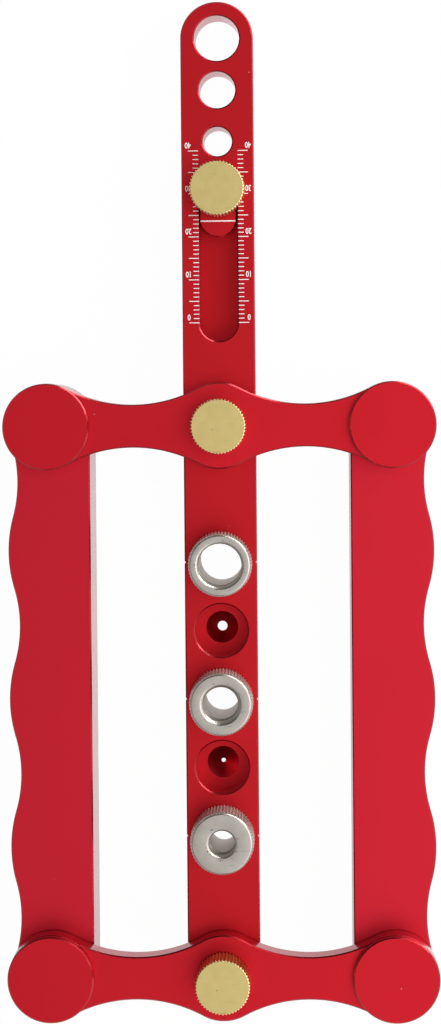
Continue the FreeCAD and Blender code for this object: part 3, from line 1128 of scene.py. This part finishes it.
@dataclass
class DrillBush:
    """A knurled drill bush that screws into the bar."""

    node: str
    finish: Finish
    bore: float
    lead: float
    lip_high: float = 0.6
    lip_in: float = 0.35
    seat: float = CentreBar.seat
    foot: float = 0.4
    edge: float = 0.3
    teeth: int = 60
    tooth_depth: float = 0.45
    relief: float = 0.4
    relief_below: float = 1.8
    relief_high: float = 3.4
    lip_soft: float = 0.06
    mouth_soft: float = 0.08
    worn: float = 0.8  # the chips lie round the bore, this far out from it

    def build(self) -> None:
        """Builds the bush."""
        span = Span.of(self.node)
        bar_top = Span.of("centre_bar").high.z
        outer = span.size.x / 2
        low, top = span.low.z, span.high.z
        shoulder = top - self.lip_high
        lip = outer - self.lip_in
        relief_top = top - self.relief_below
        relief_foot = relief_top - self.relief_high
        profile = [
            (self.bore, low),
            (self.seat - self.foot, low),
            (self.seat, low + self.foot),
            (self.seat, bar_top),
            (outer - self.tooth_depth, bar_top),
            (outer, bar_top + self.tooth_depth),
            (outer, shoulder - self.tooth_depth / 2),
            (outer - self.tooth_depth / 2, shoulder),
            (lip, shoulder),
            (lip, top - self.edge, self.lip_soft),
            (lip - self.edge, top, self.lip_soft),
            (self.bore + self.lead, top, self.mouth_soft),
            (self.bore, top - self.lead, self.mouth_soft),
            (self.bore, relief_top),
            (self.bore + self.relief, relief_top),
            (self.bore + self.relief, relief_foot),
            (self.bore, relief_foot),
        ]
        axis = span.middle
        bush = Solid.lathe(profile, axis, steps=TOOTH_ROWS * self.teeth, ring=True)
        bush.knurl(axis, outer, self.tooth_depth, self.teeth)
        piece(bush, f"{self.node}_turned", "bar", Slot.NICKEL, self.finish, self.node)


@dataclass
class PivotArm:
    """An arm with three round eyes and hollowed sides between them."""

    node: str
    finish: Finish
    neck: float = 4.95
    edge: float = 0.3
    sleeve: float = 4.55
    stem: float = 4.05

    def build(self) -> None:
        """Builds the arm."""
        span = Span.of(self.node)
        low, high = span.low.z, span.high.z
        arm = Solid.prism(*self.outline(span), low, high)
        arm.chamfer(self.edge, rim((low, high)))
        reach = span.size.x / 2 - span.size.y / 2
        eyes = ((-reach, self.stem), (0.0, self.sleeve), (reach, self.stem))
        tools = []
        for x, radius in eyes:
            profile = [(radius, low - CLEAR), (radius, high + CLEAR)]
            tools.append(Solid.lathe(profile, Vector((x, span.middle.y, 0))))
        arm.combine(Solid.gathered(tools), Cut.AWAY)
        piece(arm, f"{self.node}_milled", self.node, Slot.RED, self.finish, self.node)

    def outline(self, span: Span) -> tuple[Point, list[Arc]]:
        """Draws the arm in plan, anticlockwise.

        Args:
            span: the arm's box.

        Returns:
            The start and the stretches.
        """
        eye = span.size.y / 2
        reach = span.size.x / 2 - eye
        half = reach / 2
        y = span.middle.y
        hollow = (half**2 + self.neck**2 - eye**2) / (2 * (eye - self.neck))
        away = hollow + self.neck
        lean_x = half * eye / (hollow + eye)
        lean_y = away * eye / (hollow + eye)
        start = (reach - lean_x, y - lean_y)
        arcs = [
            Arc(reach - lean_x, y + lean_y, (reach, y), Turn.LEFT),
            Arc(lean_x, y + lean_y, (half, y + away), Turn.RIGHT),
            Arc(-lean_x, y + lean_y, (0.0, y), Turn.LEFT),
            Arc(lean_x - reach, y + lean_y, (-half, y + away), Turn.RIGHT),
            Arc(lean_x - reach, y - lean_y, (-reach, y), Turn.LEFT),
            Arc(-lean_x, y - lean_y, (-half, y - away), Turn.RIGHT),
            Arc(lean_x, y - lean_y, (0.0, y), Turn.LEFT),
            Arc(*start, (half, y - away), Turn.RIGHT),
        ]
        return start, arcs


@dataclass
class SidePlate:
    """A side plate: a flat clamping face inside and a wavy finger grip outside."""

    hand: Hand
    finish: Finish
    inner: float = 9.6  # from the pivot line to the inner face
    pitch: float = 34.7  # from one bulge of the grip to the next
    peak: float = 9.7  # from the pivot line to a bulge
    depth: float = 2.5  # from there down to a hollow
    bulge: float = 30.6  # a bulge's radius
    edge: float = 0.3
    stem: float = 4.0
    stem_depth: float = 6.0
    screw: float = 2.0
    sink: float = 4.0
    sink_depth: float = 2.0

    def build(self) -> None:
        """Builds the plate."""
        side = self.hand.name.lower()
        node = f"{side}_plate"
        span = Span.of(node)
        low, high = span.low.z, span.high.z
        pivots = [Span.of(f"{end}_{side}_cap").middle for end in ("lower", "upper")]
        start, stretches = self.outline(pivots[1].y)
        plate = Solid.prism(start, stretches, low, high)
        plate.chamfer(self.edge, rim((low, high)))
        turned = Matrix.Rotation(math.pi if self.hand is Hand.LEFT else 0.0, 4, "Z")
        place = Matrix.Translation((pivots[0].x, 0, 0)) @ turned
        bmesh.ops.transform(plate.mesh, matrix=place, verts=plate.mesh.verts[:])
        profile = [
            (self.sink + CLEAR, low - CLEAR),
            (self.screw, low + self.sink_depth),
            (self.screw, high - self.stem_depth),
            (self.stem, high - self.stem_depth),
            (self.stem, high + CLEAR),
        ]
        plate.combine(Solid.gathered([Solid.lathe(profile, pivot) for pivot in pivots]), Cut.AWAY)
        piece(plate, f"{node}_milled", node, Slot.RED, self.finish, node)

    def outline(self, pivot: float) -> tuple[Point, list[Line | Arc]]:
        """Draws the plate in plan about its own pivot line, with the grip towards +X.

        Args:
            pivot: distance of each pivot from the plate's middle.

        Returns:
            The start and the stretches, anticlockwise.
        """
        half = self.pitch / 2
        reach = (self.depth**2 + half**2) / (2 * self.depth)
        hollow = reach - self.bulge
        share = self.bulge / reach
        bulge = Vector((self.peak - self.bulge, 0.0))
        valley = Vector((self.peak - self.depth + hollow, half))
        joint = bulge.lerp(valley, share)

        outer = bulge + Vector((0.0, self.pitch))
        end = Vector((0.0, pivot))
        run = end - outer
        along = (reach**2 - (hollow + self.inner) ** 2 + run.length_squared) / (2 * run.length)
        aside = math.sqrt(reach**2 - along**2)
        last = outer + run.normalized() * along
        last += Vector((run.y, -run.x)).normalized() * aside
        leave = outer.lerp(last, share)
        touch = end.lerp(last, self.inner / (hollow + self.inner))
        stretches = [
            Arc(touch.x, -touch.y, (0.0, -pivot), Turn.LEFT),
            Arc(leave.x, -leave.y, (last.x, -last.y), Turn.RIGHT),
            Arc(joint.x, joint.y - self.pitch, (bulge.x, -self.pitch), Turn.LEFT),
            Arc(joint.x, -joint.y, (valley.x, -half), Turn.RIGHT),
            Arc(joint.x, joint.y, (bulge.x, 0.0), Turn.LEFT),
            Arc(joint.x, self.pitch - joint.y, (valley.x, half), Turn.RIGHT),
            Arc(leave.x, leave.y, (bulge.x, self.pitch), Turn.LEFT),
            Arc(touch.x, touch.y, (last.x, last.y), Turn.RIGHT),
            Arc(-self.inner, pivot, (0.0, pivot), Turn.LEFT),
            Line(-self.inner, -pivot),
        ]
        return (-self.inner, -pivot), stretches


@dataclass
class PivotCap:
    """A round cap over an arm's end, with the stem that the arm turns on."""

    node: str
    body: str
    finish: Finish
    disc_high: float = 1.6
    edge: float = 0.3
    stem: float = SidePlate.stem
    bore: float = SidePlate.screw
    bore_top: float = 11.0
    flats: int = 128

    def build(self) -> None:
        """Builds the cap."""
        span = Span.of(self.node)
        radius = span.size.x / 2
        low, high = span.low.z, span.high.z
        under = high - self.disc_high
        profile = [
            (self.bore, self.bore_top),
            (self.bore, low),
            (self.stem, low),
            (self.stem, under),
            (radius - self.edge, under),
            (radius, under + self.edge),
            (radius, high - self.edge),
            (radius - self.edge, high),
        ]
        cap = Solid.lathe(profile, span.middle, steps=self.flats)
        piece(cap, f"{self.node}_turned", self.body, Slot.RED, self.finish, self.node)


@dataclass
class LockKnob:
    """A knurled brass knob on its threaded shank."""

    node: str
    finish: Finish
    head_high: float = 7.0
    edge: float = 0.3
    shank: float = 3.0
    thread: float = 1.0
    thread_depth: float = 0.32
    crest: Point = (0.4, 0.6)
    teeth: int = 50
    tooth_depth: float = 0.42
    soft: float = 0.08

    def build(self) -> None:
        """Builds the knob."""
        span = Span.of(self.node)
        radius = span.size.x / 2
        low, high = span.low.z, span.high.z
        under = high - self.head_high
        profile = [
            *self.threads(low, under),
            (self.shank - self.thread_depth, under),
            (radius - self.edge, under),
            (radius, under + self.edge),
            (radius, high - self.edge),
            (radius - self.edge, high, self.soft),
        ]
        knob = Solid.lathe(profile, span.middle, steps=TOOTH_ROWS * self.teeth)
        knob.knurl(span.middle, radius, self.tooth_depth, self.teeth, through=2 * self.edge)
        piece(knob, f"{self.node}_turned", self.node, Slot.BRASS, self.finish, self.node)

    def threads(self, low: float, high: float) -> list[Corner]:
        """Draws the thread's profile, as rings one pitch apart.

        Args:
            low: the shank's lower end.
            high: the head's underside.

        Returns:
            The profile's corners, upwards.
        """
        root = self.shank - self.thread_depth
        corners = []
        for turn in range(int((high - low) / self.thread)):
            base = low + turn * self.thread
            corners.append((root, base))
            corners += [(self.shank, base + share * self.thread) for share in self.crest]
        return corners


@dataclass
class EndStop:
    """The sliding stop: a fence beneath the bar and a tongue up in its slot."""

    finish: Finish
    tongue_half: float = 4.375
    tongue_tip: float = 107.75
    fence_gap: float = 0.1
    edge: float = 0.3
    stud: float = 3.05
    overlap: float = 0.6

    def build(self) -> None:
        """Builds the stop."""
        span = Span.of("stop_slider")
        low, high = span.low, span.high
        fence_top = Span.of("centre_bar").low.z - self.fence_gap
        axis = Span.of("stop_knob").middle
        outline = (
            Line(high.x, low.y),
            Line(high.x, high.y),
            Line(low.x, high.y),
            Line(low.x, low.y),
        )
        stop = Solid.prism((low.x, low.y), outline, low.z, fence_top)
        stop.chamfer(self.edge, lambda edge: edge.calc_face_angle(0.0) > SMOOTH_BELOW)
        start = self.tongue_tip + self.tongue_half
        foot = fence_top - self.overlap
        tongue = Solid.stadium(self.tongue_half, start, axis.y, foot, high.z)
        tongue.chamfer(self.edge, rim((high.z,)))
        stop.combine(tongue, Cut.ONTO)
        hole = [(self.stud, self.edge), (self.stud, high.z + CLEAR)]
        stop.combine(Solid.lathe(hole, axis), Cut.AWAY)
        piece(stop, "stop_milled", "stop", Slot.RED, self.finish, "stop_slider")


@dataclass
class Hardware:
    """The screws, sleeves, washers and shims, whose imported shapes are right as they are."""

    steel: bpy.types.Material
    nylon: bpy.types.Material

    def dress(self) -> None:
        """Gives each node its finish."""
        steel = ["pivot_sleeves", "left_cap_screws", "right_cap_screws"]
        steel += [f"{knob}_knob_washer" for knob in ("stop", "upper", "lower")]
        nylon = ["bar_shims", "left_plate_shims", "right_plate_shims"]
        for names, material in ((steel, self.steel), (nylon, self.nylon)):
            for name in names:
                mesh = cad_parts[name].data
                mesh.materials.clear()
                mesh.materials.append(material)
                log.info("%s: packed shape with %s", name, material.name)


# The studio.


@dataclass(frozen=True)
class Softbox:
    """A lamp's name, its centre and its size in metres, and its power in watts."""

    name: str
    place: Vector
    size: Point
    power: float

    def hang(self, aim: Vector) -> None:
        """Hangs the lamp.

        Args:
            aim: the point that it faces, in metres.
        """
        light = bpy.data.lights.new(self.name, "AREA")
        light.shape = "RECTANGLE"
        light.size, light.size_y = self.size
        light.energy = self.power
        lamp = placed(self.name, light)
        lamp.location = self.place
        lamp.rotation_euler = (aim - self.place).to_track_quat("-Z", "Y").to_euler()
        lamp.visible_camera = False


@dataclass
class Studio:
    """A white floor under a soft dome, two lamps from the right and the camera.

    Its sizes are metres, but the camera's place is in millimetres and its tilt in degrees. The
    dome's levels go by how far a direction points upwards, across, or along the bar.
    """

    floor_half: float = 3.0
    drop: float = 0.00005
    shadow_share: float = 0.02
    mirrored_share: float = 0.48
    dome: tuple[Point, ...] = ((0.0, 1.0), (0.3, 0.7), (0.8, 0.88))
    across: Levels = (-0.8, 0.8, 0.28, 1.72)
    window: Levels = (0.05, 0.5, 0.0, 1.1)
    far: Levels = (0.21, 0.45, 1.0, 0.15)
    rise: Levels = (0.0, 0.3, 0.6, 1.0)
    aim: Vector = Vector((0.0, 0.04, 0.0))
    lamps: tuple[Softbox, ...] = (
        Softbox("key", Vector((0.72, 0.3, 0.55)), (1.2, 0.5), 4.0),
        Softbox("rim", Vector((0.5, 0.62, 0.08)), (0.8, 0.12), 3.4),
    )
    lens: float = 76.99
    sensor: float = 36.0
    shift: float = -0.12
    near: float = 0.01
    eye: Triple = (16.3, 78.82, 520.0)
    tilt: Triple = (-0.741, 1.794, -0.479)

    def build(self) -> None:
        """Builds the floor, the surround, the lamps and the camera."""
        self.floor()
        self.surround()
        for lamp in self.lamps:
            lamp.hang(self.aim)
        self.camera()

    def floor(self) -> None:
        """Lays the floor just under the jig.

        The camera and mirror rays see it as white paper, and it keeps a faint contact shadow.
        """
        low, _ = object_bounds()
        mesh = bmesh.new()
        place = Matrix.Translation((0, 0, low.z - self.drop))
        bmesh.ops.create_grid(mesh, x_segments=1, y_segments=1, size=self.floor_half, matrix=place)
        data = bpy.data.meshes.new("floor")
        mesh.to_mesh(data)
        mesh.free()
        material, tree = new_material("white_paper_floor")
        rays = add(tree, "LightPath").node.outputs
        plain = {0: rays["Is Camera Ray"], 1: rays["Is Transmission Ray"]}
        seen = add(tree, "Math", plain, operation="MAXIMUM")
        seen = add(tree, "Math", {0: seen, 1: 1 - self.shadow_share}, operation="MULTIPLY")
        mirrored = {0: rays["Is Glossy Ray"], 1: self.mirrored_share, 2: seen}
        share = add(tree, "Math", mirrored, operation="MULTIPLY_ADD")
        paper = add(tree, "BsdfDiffuse", {"Color": linear("F4F4F4")})
        white = add(tree, "Emission", {"Color": linear("FFFFFF"), "Strength": 1.0})
        surface = add(tree, "MixShader", {0: share, 1: paper, 2: white})
        add(tree, "OutputMaterial", {"Surface": surface})
        data.materials.append(material)
        placed("floor", data)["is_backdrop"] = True

    def surround(self) -> None:
        """Lights the jig from a pale dome, white at the horizon and bright overhead.

        It is brighter towards +X, as from a window there, and overhead it falls away towards +Y.
        """
        world = bpy.data.worlds.new("studio")
        bpy.context.scene.world = world
        world.use_nodes = True
        tree = world.node_tree
        tree.nodes.clear()
        axes = add(tree, "SeparateXYZ", {"Vector": add(tree, "TexCoord")}).node.outputs
        sky = add(tree, "ValToRGB", {"Fac": axes["Z"]})
        stops = sky.node.color_ramp.elements
        stops[-1].position = self.dome[-1][0]
        for place, _ in self.dome[1:-1]:
            stops.new(place)
        for stop, (_, level) in zip(stops, self.dome):
            stop.color = (level, level, level, 1.0)
        right, window, far, amount = [
            add(tree, "MapRange", {"Value": axes[axis], **ends(*levels)}, interpolation_type=kind)
            for axis, levels, kind in (
                ("X", self.across, "LINEAR"),
                ("X", self.window, "SMOOTHSTEP"),
                ("Y", self.far, "SMOOTHSTEP"),
                ("Z", self.rise, "LINEAR"),
            )
        ]
        right = add(tree, "Math", {0: right, 1: window}, operation="ADD")
        tilt = add(tree, "Math", {0: right, 1: far}, operation="MULTIPLY")
        level = add(tree, "Mix", {0: amount, 2: 1.0, 3: tilt}, data_type="FLOAT")
        background = add(tree, "Background", {"Color": sky, "Strength": level})
        add(tree, "OutputWorld", {"Surface": background})

    def camera(self) -> None:
        """Sets the camera above the jig, a degree or so off straight down."""
        data = bpy.data.cameras.new("camera")
        data.lens = self.lens
        data.sensor_width = self.sensor
        data.shift_y = self.shift
        data.clip_start = self.near
        camera = placed("camera", data)
        camera.location = Vector(self.eye) * MM
        camera.rotation_euler = [math.radians(angle) for angle in self.tilt]
        bpy.context.scene.camera = camera


def main() -> None:
    """Builds every piece and the studio."""
    logging.basicConfig(level=logging.INFO, format="%(message)s")
    scene = bpy.context.scene
    scene.view_settings.view_transform = "Standard"
    for stray in [item for item in scene.objects if item.type in ("LIGHT", "CAMERA")]:
        bpy.data.objects.remove(stray)

    # A thin sharp coat makes the milled walls mirror the white ground, and their bluer colour adds a
    # painted tint of that reflection. The edges' darker colour is painted shade on chamfers and
    # cones.
    # The bar's dye is the deepest red, and the plates' the palest, made pinker as a painted sheen.
    edges = AnodisedAluminium(
        "red_anodised_shaded_edges", "9A0F1E", "920D1A", roughness=0.3, coat_ior=1.35, coat_roughness=0.2
    ).make()
    # the walls' bluer colour is a painted tint of the ground's reflection; their low coat roughness
    # is real gloss
    walls = AnodisedAluminium(
        "red_anodised_walls", "C41638", "BC1434", roughness=0.3, coat_ior=1.6, coat_roughness=0.08
    ).make()
    red, bar_red, plate_red = [
        (AnodisedAluminium(f"red_anodised_{name}", colour, shade).make(), edges, walls)
        for name, colour, shade in (
            ("aluminium", "CA1324", "C41121"),
            ("bar", "C1101D", "BA0E1A"),
            # the plates' pinker colour is a painted sheen in place of a hazier coat catching the
            # lamp
            ("plates", "CB192D", "C5172A"),
        )
    ]
    steel = PlainMetal("bright_steel", "B4B2AC").make()
    # paler than the plated top: a painted highlight on the bushes' walls and teeth
    knurl = PlainMetal("knurled_nickel_plate", "D6D2CA", roughness=0.5).make()
    # paler than the brass: a painted highlight on the knobs' chamfers
    brass_highlight = PlainMetal("brass_edges_painted_highlight", "EAD9A6").make()
    nylon = Coating("natural_nylon", "E9E6DC", "DEDACD", roughness=0.5, patch=1.5).make()
    ink = Coating("white_printing_ink", "FBF6F6", "F2ECEC", roughness=0.55, patch=0.4).make()

    CentreBar(bar_red).build()
    PrintedScale((ink,)).build()
    for size, lead in BUSHES.items():
        node, bore = f"bush_{size}mm", size / 2
        nickel = TurnedMetal(
            f"nickel_plated_steel_{size}mm",
            "BAB4AC",
            patch="A8A29A",
            mark="4A4540",
            centre=Span.of(node).middle,
            mark_radius=bore + DrillBush.worn,
        ).make()
        DrillBush(node, (nickel, nickel, knurl), bore, lead).build()
    for end in ("upper", "lower"):
        PivotArm(f"{end}_arm", red).build()
        for side in ("left", "right"):
            PivotCap(f"{end}_{side}_cap", f"{side}_plate", red).build()
    for hand in Hand:
        SidePlate(hand, plate_red).build()
    for knob in ("stop", "upper", "lower"):
        node = f"{knob}_knob"
        brass = TurnedMetal(
            f"turned_brass_{knob}",
            "D6C281",
            patch="CAB672",
            mark="8A7440",
            centre=Span.of(node).middle,
            mark_size=0.9,
            mark_level=0.74,
            mark_radius=1.5,
            mark_width=1.5,
        ).make()
        LockKnob(node, (brass, brass_highlight, brass)).build()
    EndStop(bar_red).build()
    Hardware(steel, nylon).dress()
    Studio().build()


if __name__ == "__main__":
    main()
